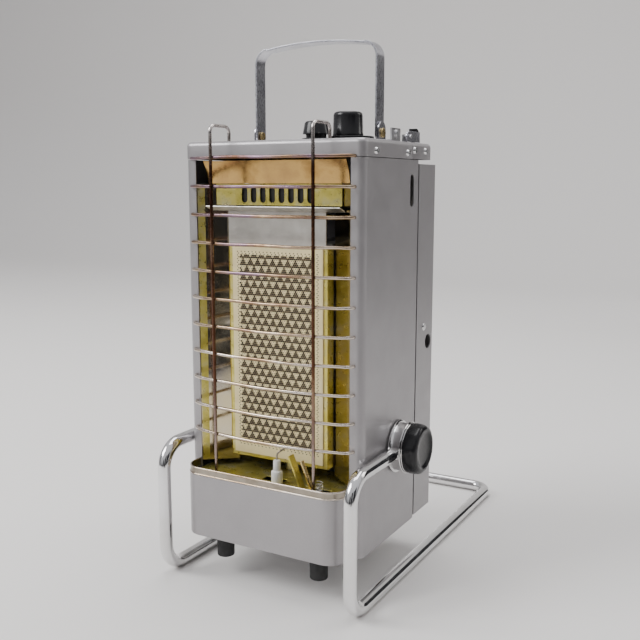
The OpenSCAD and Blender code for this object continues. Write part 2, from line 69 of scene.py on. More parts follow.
def make_camera():
    data = bpy.data.cameras.new("camera")
    data.lens = CAMERA_LENS
    data.sensor_width = 36
    data.clip_start = 0.01
    camera = bpy.data.objects.new("camera", data)
    camera.location = CAMERA_PLACE
    camera.rotation_euler = (math.radians(90 - CAMERA_PITCH), 0, math.radians(CAMERA_AZIMUTH))
    bpy.context.scene.collection.objects.link(camera)
    bpy.context.scene.camera = camera


def make_light(name, place, aim, size, power, colour=(1, 1, 1)):
    data = bpy.data.lights.new(name, "AREA")
    data.shape = "RECTANGLE"
    data.size, data.size_y = size
    data.energy = power
    data.color = colour
    light = bpy.data.objects.new(name, data)
    light.location = place
    light.rotation_euler = (Vector(aim) - Vector(place)).to_track_quat("-Z", "Y").to_euler()
    bpy.context.scene.collection.objects.link(light)


def make_stage():
    """A pale floor that curves up into a backdrop, dark cards for the bright metal, and a soft world."""
    mesh = bpy.data.meshes.new("studio_floor")
    rows = [(-6.0, 0.0), (2.2, 0.0)]
    rows += [(2.2 + math.sin(math.radians(a)), 1 - math.cos(math.radians(a))) for a in range(10, 91, 10)]
    rows.append((3.2, 6.0))
    verts = [(x, y, z) for y, z in rows for x in (-7, 7)]
    faces = [(2 * i, 2 * i + 1, 2 * i + 3, 2 * i + 2) for i in range(len(rows) - 1)]
    mesh.from_pydata(verts, [], faces)
    floor = bpy.data.objects.new("studio_floor", mesh)
    bpy.context.scene.collection.objects.link(floor)
    mesh.shade_smooth()
    mesh.materials.append(plain_material("studio_floor", (0.84, 0.82, 0.80), 0.7))
    dark = plain_material("studio_card", (0.012, 0.012, 0.014), 0.9)
    make_card("card_right", (1.9, -0.75, 0.55), (0, 0, 0.25), (1.1, 1.3), dark)
    make_card("card_near", (0.92, -1.28, 0.5), (0, 0, 0.25), (0.55, 1.0), dark)
    make_card("card_side", (1.0, 1.35, 0.45), (0.1, 0, 0.25), (0.9, 0.9), dark)
    make_card("card_left", (-1.5, -1.0, 0.4), (0, 0, 0.2), (0.35, 1.0), dark)
    make_card("card_floor", (0.66, -1.0, 0.004), (0.66, -1.0, -1), (0.44, 0.5), dark)
    make_card("card_front", (0.5, -2.4, 0.5), (0, 0, 0.2), (0.7, 1.2), dark)
    world = bpy.data.worlds.new("studio")
    world.use_nodes = True
    tree = world.node_tree
    background = tree.nodes["Background"]
    background.inputs["Strength"].default_value = 0.78
    coords = tree.nodes.new("ShaderNodeTexCoord")
    split = tree.nodes.new("ShaderNodeSeparateXYZ")
    tree.links.new(coords.outputs["Generated"], split.inputs[0])
    ramp = tree.nodes.new("ShaderNodeValToRGB")
    stops = [(0.0, 0.2), (0.08, 0.34), (0.3, 0.8), (1.0, 1.0)]
    while len(ramp.color_ramp.elements) < len(stops):
        ramp.color_ramp.elements.new(0.5)
    for element, (place, grey) in zip(ramp.color_ramp.elements, stops):
        element.position = place
        element.color = (grey * 0.97, grey * 0.97, grey, 1)
    tree.links.new(split.outputs["Z"], ramp.inputs["Fac"])
    tree.links.new(ramp.outputs["Color"], background.inputs["Color"])
    bpy.context.scene.world = world


def plain_material(name, colour, rough):
    material = bpy.data.materials.new(name)
    material.use_nodes = True
    shader = material.node_tree.nodes["Principled BSDF"]
    shader.inputs["Base Color"].default_value = (*colour, 1)
    shader.inputs["Roughness"].default_value = rough
    return material


def make_card(name, place, aim, size, material):
    mesh = bpy.data.meshes.new(name)
    w, h = size[0] / 2, size[1] / 2
    mesh.from_pydata([(-w, -h, 0), (w, -h, 0), (w, h, 0), (-w, h, 0)], [], [(0, 1, 2, 3)])
    mesh.materials.append(material)
    card = bpy.data.objects.new(name, mesh)
    card.location = place
    card.rotation_euler = (Vector(aim) - Vector(place)).to_track_quat("-Z", "Y").to_euler()
    bpy.context.scene.collection.objects.link(card)


make_camera()
make_stage()
make_light("key", (-1.6, -1.5, 1.9), (0, 0, 0.2), (1.4, 1.2), 62)
make_light("side", (1.6, 1.4, 1.5), (0, 0, 0.2), (0.8, 1.2), 9, (1, 0.98, 0.95))
make_light("top", (-0.1, 0.3, 2.4), (0, 0, 0.3), (1.6, 1.6), 30)


# ---------------------------------------------------------------- material kit
class Shade:
    """Builds one procedural material: object coordinates, noise and bump round a principled shader."""

    def __init__(self, name):
        self.material = bpy.data.materials.new(name)
        self.material.use_nodes = True
        self.tree = self.material.node_tree
        self.shader = self.tree.nodes["Principled BSDF"]
        self.coords = self.node("ShaderNodeTexCoord").outputs["Object"]

    def node(self, kind, **settings):
        made = self.tree.nodes.new(kind)
        for key, value in settings.items():
            setattr(made, key, value)
        return made

    def link(self, out, into):
        self.tree.links.new(out, into)

    def set(self, **values):
        for key, value in values.items():
            self.shader.inputs[key.replace("_", " ")].default_value = value

    def scaled(self, scale):
        mapping = self.node("ShaderNodeMapping")
        mapping.inputs["Scale"].default_value = scale
        self.link(self.coords, mapping.inputs["Vector"])
        return mapping.outputs["Vector"]

    def noise(self, scale, detail=4.0, rough=0.55, stretch=(1, 1, 1)):
        made = self.node("ShaderNodeTexNoise")
        made.inputs["Scale"].default_value = scale
        made.inputs["Detail"].default_value = detail
        made.inputs["Roughness"].default_value = rough
        self.link(self.scaled(stretch), made.inputs["Vector"])
        return made.outputs["Fac"]

    def ramp(self, fac, stops):
        made = self.node("ShaderNodeValToRGB")
        ramp = made.color_ramp
        while len(ramp.elements) < len(stops):
            ramp.elements.new(0.5)
        for element, (place, colour) in zip(ramp.elements, stops):
            element.position = place
            element.color = (*colour, 1) if len(colour) == 3 else colour
        self.link(fac, made.inputs["Fac"])
        return made.outputs["Color"]

    def span(self, fac, low, high, from_low=0.3, from_high=0.7):
        made = self.node("ShaderNodeMapRange")
        made.inputs["From Min"].default_value = from_low
        made.inputs["From Max"].default_value = from_high
        made.inputs["To Min"].default_value = low
        made.inputs["To Max"].default_value = high
        self.link(fac, made.inputs["Value"])
        return made.outputs["Result"]

    def mix(self, fac, first, second, blend="MIX"):
        made = self.node("ShaderNodeMix", data_type="RGBA", blend_type=blend)
        if isinstance(fac, (int, float)):
            made.inputs["Factor"].default_value = fac
        else:
            self.link(fac, made.inputs["Factor"])
        for value, socket in ((first, made.inputs[6]), (second, made.inputs[7])):
            if isinstance(value, tuple):
                socket.default_value = (*value, 1) if len(value) == 3 else value
            else:
                self.link(value, socket)
        return made.outputs[2]

    def math(self, operation, first, second=0.0, third=0.0):
        made = self.node("ShaderNodeMath", operation=operation)
        for value, socket in zip((first, second, third), made.inputs):
            if isinstance(value, (int, float)):
                socket.default_value = value
            else:
                self.link(value, socket)
        return made.outputs[0]

    def colour(self, out):
        self.link(out, self.shader.inputs["Base Color"])

    def roughness(self, out):
        self.link(out, self.shader.inputs["Roughness"])

    def bump(self, height, strength, distance):
        made = self.node("ShaderNodeBump")
        made.inputs["Strength"].default_value = strength
        made.inputs["Distance"].default_value = distance
        self.link(height, made.inputs["Height"])
        self.link(made.outputs["Normal"], self.shader.inputs["Normal"])

    def axes(self):
        split = self.node("ShaderNodeSeparateXYZ")
        self.link(self.coords, split.inputs[0])
        return split.outputs


def silver_paint():
    """Metallic paint: fine flakes, orange peel and soft grime."""
    s = Shade("silver_paint")
    flakes = s.noise(2600, 2, 0.6)
    cloud = s.noise(9, 3)
    base = s.ramp(cloud, [(0.3, (0.30, 0.285, 0.292)), (0.7, (0.35, 0.335, 0.342))])
    s.colour(s.mix(s.span(flakes, 0, 0.35), base, (0.50, 0.49, 0.50)))
    s.roughness(s.span(s.noise(60, 4), 0.36, 0.46))
    s.set(Metallic=0.62, Coat_Weight=0.25, Coat_Roughness=0.22)
    s.bump(s.noise(900, 3), 0.12, 0.0002)
    return s.material


def zinc_sheet():
    s = Shade("zinc_sheet")
    s.colour(s.ramp(s.noise(70, 5), [(0.3, (0.44, 0.44, 0.45)), (0.7, (0.62, 0.62, 0.63))]))
    s.roughness(s.span(s.noise(200, 4), 0.28, 0.48))
    s.set(Metallic=1.0)
    s.bump(s.noise(1400, 3), 0.15, 0.0001)
    return s.material


def tinted_metal(name, colours, rough, noise_scale=60, metallic=1.0, grain=(1, 1, 1)):
    """Bare metal whose tint wanders between several colours."""
    s = Shade(name)
    count = len(colours) - 1
    stops = [(0.3 + 0.4 * i / count, c) for i, c in enumerate(colours)]
    s.colour(s.ramp(s.noise(noise_scale, 4), stops))
    s.roughness(s.span(s.noise(220, 4, 0.6, grain), *rough))
    s.set(Metallic=metallic)
    s.bump(s.noise(1500, 3, 0.6, grain), 0.12, 0.0001)
    return s.material


def mirror_steel():
    """Bright sheet, a little wavy, straw and blue in places from the heat."""
    s = Shade("mirror_steel")
    stops = [(0.3, (0.58, 0.54, 0.46)), (0.52, (0.62, 0.53, 0.34)), (0.72, (0.5, 0.48, 0.5))]
    s.colour(s.ramp(s.noise(14, 3), stops))
    s.roughness(s.span(s.noise(90, 4), 0.05, 0.16))
    s.set(Metallic=1.0)
    s.bump(s.noise(16, 2), 0.25, 0.003)
    return s.material


def black_plastic():
    s = Shade("black_plastic")
    s.colour(s.ramp(s.noise(40, 4), [(0.3, (0.008, 0.008, 0.009)), (0.7, (0.02, 0.02, 0.022))]))
    s.roughness(s.span(s.noise(160, 4), 0.14, 0.26))
    s.bump(s.noise(1100, 3), 0.06, 0.0001)
    s.shader.inputs["Specular IOR Level"].default_value = 0.3
    return s.material


def rubber():
    s = Shade("black_rubber")
    s.colour(s.ramp(s.noise(60, 4), [(0.3, (0.012, 0.012, 0.012)), (0.7, (0.028, 0.028, 0.028))]))
    s.roughness(s.span(s.noise(200, 4), 0.62, 0.8))
    s.bump(s.noise(900, 3), 0.3, 0.0003)
    return s.material


def glazed(name, light, dark, rough):
    s = Shade(name)
    s.colour(s.ramp(s.noise(90, 4), [(0.3, dark), (0.7, light)]))
    s.roughness(s.span(s.noise(160, 4), *rough))
    s.bump(s.noise(700, 3), 0.1, 0.0002)
    return s.material


def chrome():
    """Bright plating with faint polishing haze."""
    s = Shade("chrome_tube")
    s.colour(s.ramp(s.noise(30, 3), [(0.3, (0.72, 0.71, 0.7)), (0.7, (0.82, 0.82, 0.83))]))
    s.roughness(s.span(s.noise(260, 4), 0.06, 0.15))
    s.set(Metallic=1.0)
    s.bump(s.noise(500, 2), 0.04, 0.0002)
    return s.material


def heated_wire():
    """Nickel wire that turns bronze, purple and brown towards the top of the fire."""
    s = Shade("guard_nickel")
    x, y, z = s.axes()
    height = s.span(z, 0, 1, 0.2, 0.4)
    middle = s.math("SUBTRACT", 1.0, s.math("MULTIPLY", s.math("ABSOLUTE", s.math("ADD", x, 0.015)), 14.0))
    heat = s.math("ADD", s.math("MULTIPLY", height, 0.5), s.math("MULTIPLY", middle, 0.3))
    spotty = s.math("ADD", heat, s.math("MULTIPLY", s.math("SUBTRACT", s.noise(34, 4), 0.5), 0.9))
    stops = [(0.05, (0.62, 0.55, 0.48)), (0.26, (0.44, 0.34, 0.24)), (0.44, (0.24, 0.15, 0.09))]
    stops += [(0.62, (0.22, 0.15, 0.2)), (0.8, (0.13, 0.065, 0.04))]
    s.colour(s.ramp(spotty, stops))
    s.roughness(s.span(s.noise(220, 4), 0.14, 0.28))
    s.set(Metallic=1.0)
    s.bump(s.noise(1500, 3), 0.1, 0.0001)
    return s.material


def browned_wire():
    """Upright guard wire: nickel at both ends, burnt brown in between."""
    s = Shade("guard_brown")
    x, y, z = s.axes()
    top = s.span(z, 0, 1, 0.375, 0.408)
    low = s.span(z, 1, 0, 0.10, 0.19)
    stops = [(0.3, (0.07, 0.03, 0.018)), (0.55, (0.15, 0.07, 0.04)), (0.75, (0.3, 0.2, 0.13))]
    burnt = s.ramp(s.noise(30, 4), stops)
    bare = s.ramp(s.noise(50, 4), [(0.3, (0.5, 0.44, 0.4)), (0.7, (0.74, 0.7, 0.68))])
    s.colour(s.mix(s.math("MAXIMUM", top, s.math("MULTIPLY", low, 0.4)), burnt, bare))
    s.roughness(s.span(s.noise(220, 4), 0.18, 0.32))
    s.set(Metallic=1.0)
    s.bump(s.noise(1500, 3), 0.1, 0.0001)
    return s.material


YELLOW_STOPS = [(0.50, 0.42, 0.07), (0.68, 0.59, 0.15), (0.62, 0.57, 0.32)]
BROWN_STOPS = [(0.22, 0.12, 0.04), (0.46, 0.29, 0.10), (0.30, 0.18, 0.08)]
STRAP_STOPS = [(0.42, 0.42, 0.46), (0.6, 0.6, 0.64)]
MATERIALS = {
    "silver_paint": silver_paint(),
    "zinc_sheet": zinc_sheet(),
    "heat_steel": tinted_metal("heat_steel", [(0.25, 0.21, 0.16), (0.40, 0.36, 0.30)], (0.26, 0.4)),
    "yellow_zinc": tinted_metal("yellow_zinc", YELLOW_STOPS, (0.24, 0.4), metallic=0.75),
    "screw_steel": tinted_metal("screw_steel", [(0.6, 0.6, 0.6), (0.78, 0.78, 0.78)], (0.12, 0.25)),
    "mirror_steel": mirror_steel(),
    "browned_mirror": tinted_metal("browned_mirror", BROWN_STOPS, (0.12, 0.24), 24),
    "dull_steel": tinted_metal("dull_steel", [(0.44, 0.42, 0.38), (0.56, 0.54, 0.5)], (0.34, 0.5)),
    "ceramic": glazed("ceramic", (0.92, 0.80, 0.46), (0.84, 0.71, 0.39), (0.8, 0.95)),
    "white_ceramic": glazed("white_ceramic", (0.9, 0.9, 0.88), (0.82, 0.81, 0.78), (0.15, 0.3)),
    "brass_metal": tinted_metal("brass_metal", [(0.55, 0.4, 0.16), (0.72, 0.56, 0.27)], (0.2, 0.35)),
    "copper": tinted_metal("copper", [(0.6, 0.3, 0.16), (0.76, 0.44, 0.26)], (0.22, 0.38)),
    "cast_alloy": tinted_metal("cast_alloy", [(0.42, 0.4, 0.36), (0.58, 0.56, 0.5)], (0.4, 0.6)),
    "black_plastic": black_plastic(),
    "cream_plastic": glazed("cream_plastic", (0.78, 0.74, 0.62), (0.7, 0.66, 0.54), (0.4, 0.55)),
    "guard_nickel": heated_wire(),
    "guard_brown": browned_wire(),
    # black_fibre also paints shade: the plaque's bores, the sheet behind its holes and the space behind the
    # flue slots
    "black_fibre": glazed("black_fibre", (0.02, 0.019, 0.017), (0.012, 0.011, 0.01), (0.7, 0.85)),
    "black_rubber": rubber(),
    "strap_steel": tinted_metal("strap_steel", STRAP_STOPS, (0.22, 0.34), 40, grain=(8, 8, 1)),
    "chrome_tube": chrome(),
}
SLOT_OF = {s["node"]: s["material_slot"] for s in frame["record"]["subparts"]}


def dress(obj, slot):
    obj.data.materials.clear()
    obj.data.materials.append(MATERIALS[slot])


def shade_by_angle(obj, degrees=32):
    """Smooth faces with sharp edges kept where they turn by more than the given angle."""
    limit = math.radians(degrees)
    bm = bmesh.new()
    bm.from_mesh(obj.data)
    for edge in bm.edges:
        edge.smooth = edge.calc_face_angle(3.2) < limit
    for face in bm.faces:
        face.smooth = True
    bm.to_mesh(obj.data)
    bm.free()


BODY_OF = {n: b for b, names in frame["record"]["behaviour"]["bodies"].items() for n in names}


# ---------------------------------------------------------------- shape kit
# millimetres, measured like the CAD: x from the middle, y back from the casing's front, z up;
# the stand's front tubes reach forward of the casing's front
STAND_REACH = 39.0
FRONT_Y = CAD_LOW[1] / MM + STAND_REACH


def at(x, y, z):
    return Vector((x * MM, (y + FRONT_Y) * MM, z * MM))


def piece(name, verts, faces, slot, node, hides=True):
    """A new visual piece that rides with the CAD node's body and, usually, stands for it."""
    mesh = bpy.data.meshes.new(name)
    mesh.from_pydata([at(*v) for v in verts], [], faces)
    obj = bpy.data.objects.new(name, mesh)
    bpy.context.scene.collection.objects.link(obj)
    bm = bmesh.new()
    bm.from_mesh(mesh)
    bmesh.ops.remove_doubles(bm, verts=bm.verts, dist=1e-6)
    bmesh.ops.recalc_face_normals(bm, faces=bm.faces)
    bm.to_mesh(mesh)
    bm.free()
    shade_by_angle(obj)
    dress(obj, slot)
    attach(obj, BODY_OF[node])
    if hides:
        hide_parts(node)
    return obj


def soften(obj, width, segments=2, angle=34):
    """Rounds the hard edges of a CAD node or a new piece."""
    weld = obj.modifiers.new("weld", "WELD")
    weld.merge_threshold = 1e-6
    flat = obj.modifiers.new("flat", "DECIMATE")
    flat.decimate_type = "DISSOLVE"
    flat.angle_limit = math.radians(0.5)
    edge = obj.modifiers.new("edge", "BEVEL")
    edge.width = width * MM
    edge.segments = segments
    edge.limit_method = "ANGLE"
    edge.angle_limit = math.radians(angle)
    obj.modifiers.new("even", "WEIGHTED_NORMAL").keep_sharp = True


def sweep(path, radius, sides=20, closed=False, start=0):
    """Vertices and faces of a round bar along a path of points."""
    points = [Vector(p) for p in path]
    count = len(points)
    verts, faces = [], []
    normal = None
    for i, here in enumerate(points):
        if closed:
            ahead, behind = points[(i + 1) % count], points[i - 1]
        else:
            ahead, behind = points[min(i + 1, count - 1)], points[max(i - 1, 0)]
        along = (ahead - behind).normalized()
        if normal is None:
            normal = along.orthogonal().normalized()
        normal = (normal - along * normal.dot(along)).normalized()
        side = along.cross(normal)
        for k in range(sides):
            a = 2 * math.pi * k / sides
            verts.append(here + (normal * math.cos(a) + side * math.sin(a)) * radius)
    for i in range(count if closed else count - 1):
        j = (i + 1) % count
        for k in range(sides):
            m = (k + 1) % sides
            faces.append([start + v for v in (i * sides + k, i * sides + m, j * sides + m, j * sides + k)])
    if not closed:
        faces.append([start + k for k in range(sides)][::-1])
        faces.append([start + (count - 1) * sides + k for k in range(sides)])
    return [tuple(v) for v in verts], faces


def join(parts):
    """Joins several (verts, faces) lists, each numbered from nought."""
    verts, faces = [], []
    for more, cells in parts:
        base = len(verts)
        verts += more
        faces += [[base + v for v in cell] for cell in cells]
    return verts, faces


def arc(centre, radius, first, last, plane, steps=10):
    """Points on a circle in plane 'xy', 'yz' or 'xz', angles in degrees."""
    out = []
    for i in range(steps + 1):
        a = math.radians(first + (last - first) * i / steps)
        u, v = radius * math.cos(a), radius * math.sin(a)
        x, y, z = centre
        out.append({"xy": (x + u, y + v, z), "yz": (x, y + u, z + v), "xz": (x + u, y, z + v)}[plane])
    return out


def lathe(profile, place, axis, steps=64, shape=None):
    """Turned body: profile is (distance along the axis, radius), axis 'x', '-x' or 'z'."""
    verts, faces = [], []
    for along, radius in profile:
        for k in range(steps):
            a = 2 * math.pi * k / steps
            r = radius * (shape(a, along, radius) if shape else 1)
            u, v = r * math.cos(a), r * math.sin(a)
            if axis == "z":
                verts.append((place[0] + u, place[1] + v, place[2] + along))
            else:
                verts.append((place[0] + (along if axis == "x" else -along), place[1] + u, place[2] + v))
    for i in range(len(profile) - 1):
        for k in range(steps):
            m = (k + 1) % steps
            faces.append([i * steps + k, i * steps + m, (i + 1) * steps + m, (i + 1) * steps + k])
    faces.append(list(range(steps))[::-1])
    faces.append([(len(profile) - 1) * steps + k for k in range(steps)])
    return verts, faces


def rounded_outline(half, y0, y1, r_front, r_back, steps=8):
    """Plan of a pressing, anticlockwise from the front left."""
    pts = []
    corners = ((-1, y0, r_front, 180), (1, y0, r_front, 270), (1, y1, r_back, 0), (-1, y1, r_back, 90))
    for sx, y, r, first in corners:
        cx = sx * (half - r)
        cy = y + (r if y == y0 else -r)
        for i in range(steps + 1):
            a = math.radians(first + 90 * i / steps)
            pts.append((cx + r * math.cos(a), cy + r * math.sin(a)))
    return pts


def pressing(half, y0, y1, z0, z1, r_front, r_back, roll, open_front=False, open_back=False, gauge=1.2):
    """Lid-shaped pressing: rounded plan, rolled upper edge, hollow underneath. An open end runs straight."""
    rings = []
    layers = [(0, z0), (0, z1 - roll)]
    for degrees in range(15, 91, 15):
        a = math.radians(degrees)
        layers.append((roll - roll * math.cos(a), z1 - roll + roll * math.sin(a)))
    for inset, z in layers:
        lo = y0 if open_front else y0 + inset
        hi = y1 if open_back else y1 - inset
        plan = rounded_outline(half - inset, lo, hi, max(r_front - inset, 0.3), max(r_back - inset, 0.3))
        rings.append([(x, y, z) for x, y in plan])
    inner = []
    for inset, z in [(gauge, z1 - gauge), (gauge, z0)]:
        lo = y0 if open_front else y0 + inset
        hi = y1 if open_back else y1 - inset
        plan = rounded_outline(half - inset, lo, hi, max(r_front - inset, 0.3), max(r_back - inset, 0.3))
        inner.append([(x, y, z) for x, y in plan])
    count = len(rings[0])
    rows = rings + inner
    verts = [v for ring in rows for v in ring]
    faces = []
    for i in range(len(rings) - 1):
        for k in range(count):
            m = (k + 1) % count
            faces.append([i * count + k, i * count + m, (i + 1) * count + m, (i + 1) * count + k])
    top = (len(rings) - 1) * count
    faces.append([top + k for k in range(count)])
    under = len(rings) * count
    faces.append([under + k for k in range(count)][::-1])
    for k in range(count):
        m = (k + 1) % count
        faces.append([under + k, under + m, under + count + m, under + count + k])
        faces.append([k, m, under + count + m, under + count + k])
    return verts, faces


# ---------------------------------------------------------------- pieces
EDGES = {
    "casing_shell": 0.55, "base_panel": 0.55, "base_band": 0.3, "rear_door": 0.55, "side_reflectors": 0.2,
    "burner_box": 0.4, "plaque_frame": 0.35, "upper_plate": 0.25, "flue_ledge": 0.25, "slot_plate": 0.2,
    "top_reflector": 0.15, "bottom_plate": 0.3, "base_floor": 0.2, "carry_handle": 0.45, "handle_ears": 0.35,
    "handle_pins": 0.4, "lock_tab": 0.3, "lock_pin": 0.2, "lock_lever": 0.4, "lock_hook": 0.35,
    "cap_screws": 0.35, "lid_screws": 0.35, "door_studs": 0.4, "valve_plate": 0.6, "button_collar": 0.4,
    "gas_valve": 0.8, "regulator": 0.8, "piezo_unit": 0.6, "gas_nozzle": 0.4, "feet": 1.0,
    "door_hinge_pins": 0.25, "lid_hinges": 0.2, "lid_knuckles": 0.2, "canister_cradle": 0.3,
    "sensor_bracket": 0.2, "mixing_tube": 0.2, "clamp_bolts": 0.3,
}
for name, node in NODES.items():
    dress(node, SLOT_OF[name])
    node.data.shade_smooth()
    soften(node, EDGES.get(name, 0.1))


# places shared by several pieces, as in the CAD
CAP_HALF = 90.5
CAP_DEPTH = 95.0
CAP_TOP = 398.0
CAP_ROLL = 4.0
BACK_EDGE = 139.4
PLAQUE_HALF = 46.5
PLAQUE_LOW = 116.0
PLAQUE_TOP = 306.5
PLAQUE_FRONT = 10.0
BASE_TOP = 100.0
CLAMP_Y = 72.0
CLAMP_Z = 124.5
WIRE_R = 1.5


def cap_and_lid():
    """The rolled cap with its open rear edge, and the lid that carries its line on."""
    verts, faces = pressing(CAP_HALF, 0, CAP_DEPTH, 383.0, CAP_TOP, 7, 0.3, CAP_ROLL, open_back=True)
    piece("cap_pressing", verts, faces, "silver_paint", "top_cap")
    seam = CAP_DEPTH + 0.4
    verts, faces = pressing(CAP_HALF, seam, BACK_EDGE, 383.2, CAP_TOP, 0.3, 3.5, CAP_ROLL, open_front=True)
    piece("lid_pressing", verts, faces, "silver_paint", "rear_lid")


PITCH = 1.95
RISE = 1.66
COLUMNS = 44
ROWS = 108
FIELD_LEFT = -COLUMNS * PITCH / 2
FIELD_LOW = PLAQUE_LOW + 7.2
FIELD_TOP = FIELD_LOW + ROWS * RISE
BORE_DEPTH = 2.4


class Sheet:
    """Flat faces on the plaque's front that share their corners."""

    def __init__(self):
        self.verts = []
        self.faces = []
        self.index = {}

    def corner(self, x, z):
        key = (round(x, 3), round(z, 3))
        if key not in self.index:
            self.index[key] = len(self.verts)
            self.verts.append((x, PLAQUE_FRONT, z))
        return self.index[key]


def hole_in_cell(row, col, shift):
    """Radius of one cell's hole, and whether it lies in a triangular dent, whose face gets painted shade."""
    band, step = divmod(row, 4)
    place = (col + shift + (band % 2) * 2 + 0.5) % 4
    dented = abs(place - 2) < (3 - step) * 0.5 + 0.26
    border = col < 2 or col > COLUMNS - 4 or row < 2 or row > ROWS - 3
    if border:
        return (0.62 if (col + row) % 2 else 0.0), False
    return (0.9 if dented else 0.5), dented


def burner_face():
    """The ceramic's front, pierced with rows of holes in staggered triangular dents."""
    plain, dents = Sheet(), Sheet()
    bore_verts, bore_faces = [], []
    rng = random.Random(4)
    for row in range(ROWS):
        shift = (row % 2) * 0.5
        zb = FIELD_LOW + row * RISE
        zt = zb + RISE
        for col in range(COLUMNS):
            xa = FIELD_LEFT + (col + shift) * PITCH
            if xa + PITCH > -FIELD_LEFT + 0.01:
                continue
            hole, dented = hole_in_cell(row, col, shift)
            sheet = dents if dented else plain
            xm, xb = xa + PITCH / 2, xa + PITCH
            corners = ((xa, zb), (xm, zb), (xb, zb), (xb, zt), (xm, zt), (xa, zt))
            ring = [sheet.corner(*corner) for corner in corners]
            if hole <= 0:
                sheet.faces.append(ring)
                continue
            cx = xm + rng.uniform(-0.03, 0.03)
            cz = zb + RISE / 2 + rng.uniform(-0.03, 0.03)
            mouth = []
            base = len(bore_verts)
            for angle in (-150, -90, -30, 30, 90, 150):
                a = math.radians(angle)
                u, v = hole * math.cos(a), hole * 0.92 * math.sin(a)
                mouth.append(sheet.corner(cx + u, cz + v))
                bore_verts.append((cx + u, PLAQUE_FRONT, cz + v))
                bore_verts.append((cx + u * 0.9, PLAQUE_FRONT + BORE_DEPTH, cz + v * 0.9))
            for k in range(6):
                m = (k + 1) % 6
                sheet.faces.append([ring[k], ring[m], mouth[m], mouth[k]])
                bore_faces.append([base + 2 * k, base + 2 * m, base + 2 * m + 1, base + 2 * k + 1])
    piece("plaque_face", plain.verts, plain.faces, "ceramic", "ceramic_plaque")
    # the dents lie flat in the face; their darker ceramic colour is painted shade for the recess
    dent_shade = piece("plaque_dents", dents.verts, dents.faces, "ceramic", "ceramic_plaque", hides=False)
    dent_shade.data.materials[0] = glazed("ceramic_dent_shade", (0.34, 0.27, 0.17), (0.22, 0.17, 0.11), (0.85, 0.95))
    # the bore walls are black: painted shade down inside the holes
    piece("plaque_bores", bore_verts, bore_faces, "black_fibre", "ceramic_plaque", hides=False)


def plaque_body():
    """The plain border round the field, the block's sides and back, and a black sheet of painted shade
    behind the holes.
    """
    y, back = PLAQUE_FRONT, PLAQUE_FRONT + 12.6
    x0, x1, z0, z1 = -PLAQUE_HALF, PLAQUE_HALF, PLAQUE_LOW, PLAQUE_TOP
    left, right = FIELD_LEFT, -FIELD_LEFT
    verts, faces = [], []

    def panel(xa, za, xb, zb):
        base = len(verts)
        verts.extend([(xa, y, za), (xb, y, za), (xb, y, zb), (xa, y, zb)])
        faces.append([base, base + 1, base + 2, base + 3])

    panel(x0, z0, x1, FIELD_LOW)
    panel(x0, FIELD_TOP, x1, z1)
    panel(x0, FIELD_LOW, left, FIELD_TOP)
    panel(right, FIELD_LOW, x1, FIELD_TOP)
    for row in range(1, ROWS, 2):
        zb = FIELD_LOW + row * RISE
        panel(left, zb, left + PITCH / 2, zb + RISE)
        panel(right - PITCH / 2, zb, right, zb + RISE)
    base = len(verts)
    for depth in (y, back):
        verts += [(x0, depth, z0), (x1, depth, z0), (x1, depth, z1), (x0, depth, z1)]
    for cell in ((0, 1, 5, 4), (1, 2, 6, 5), (2, 3, 7, 6), (3, 0, 4, 7), (4, 5, 6, 7)):
        faces.append([base + v for v in cell])
    piece("plaque_rim", verts, faces, "ceramic", "ceramic_plaque", hides=False)
    # a black sheet behind the holes: painted shade where no light reaches
    deep = y + 2.5
    verts = [(x0 + 1, deep, z0 + 1), (x1 - 1, deep, z0 + 1), (x1 - 1, deep, z1 - 1), (x0 + 1, deep, z1 - 1)]
    piece("plaque_hole_shade", verts, [[0, 1, 2, 3]], "black_fibre", "ceramic_plaque", hides=False)


def burner_trim():
    """A painted yellow reflection on a margin beside the left flange, and the dark space behind the flue
    slots.
    """
    low, top = 105, 360
    # a yellow strip on the left reflector only: a painted reflection of the yellow ceramic
    (xa, ya), (xb, yb) = [(51.3 + 27.1 * t - 0.2, 23.2 - 21.6 * t - 0.25) for t in (0.8, 0.985)]
    verts = [(-xa, ya, low), (-xb, yb, low), (-xb, yb, top), (-xa, ya, top)]
    piece("reflector_reflection_strip", verts, [[0, 1, 2, 3]], "yellow_zinc", "side_reflectors", hides=False)
    verts = [(-63, 13.2, 343.5), (63, 13.2, 343.5), (63, 13.2, 360.5), (-63, 13.2, 360.5)]
    piece("flue_shadow", verts, [[0, 1, 2, 3]], "black_fibre", "slot_plate", hides=False)


def base_hems():
    """The bright rolled edges over and under the band."""
    def run(z, inset, radius, name):
        half, r = 81 - inset, 17 - inset
        path = [(-half, -0.4, z)]
        path += arc((-half + r, -26 + inset + r, z), r, 180, 270, "xy", 14)
        path += [(x, -26 + inset, z) for x in (-40, 0, 40)]
        path += arc((half - r, -26 + inset + r, z), r, 270, 360, "xy", 14)
        path.append((half, -0.4, z))
        verts, faces = sweep(path, radius, 14)
        piece(name, verts, faces, "guard_nickel", "base_band", hides=False)
    run(BASE_TOP + 0.3, 0.55, 0.75, "base_hem_low")
    run(BASE_TOP + 6.0, 1.1, 0.8, "base_hem_high")


def stand_pipe():
    """One bent tube: two arms, two front drops, two floor runs and the rear bar."""
    x, r, bend, arm_z = 96.4, 6.0, 22.0, 123.5
    rear, rear_bend = 322.0, 18.0
    front = -11
    path = [(x, 54.5, arm_z), (x, 20, arm_z)]
    path += arc((x, front, arm_z - bend), bend, 90, 180, "yz", 16)
    path += arc((x, front, r + bend), bend, 180, 270, "yz", 16)
    path += [(x, 100, r), (x, 200, r)]
    path += arc((x - rear_bend, rear - rear_bend, r), rear_bend, 0, 90, "xy", 16)
    whole = path + [(-px, py, pz) for px, py, pz in reversed(path)]
    verts, faces = sweep(whole, r, 40)
    piece("stand_pipe", verts, faces, "chrome_tube", "stand_tube")


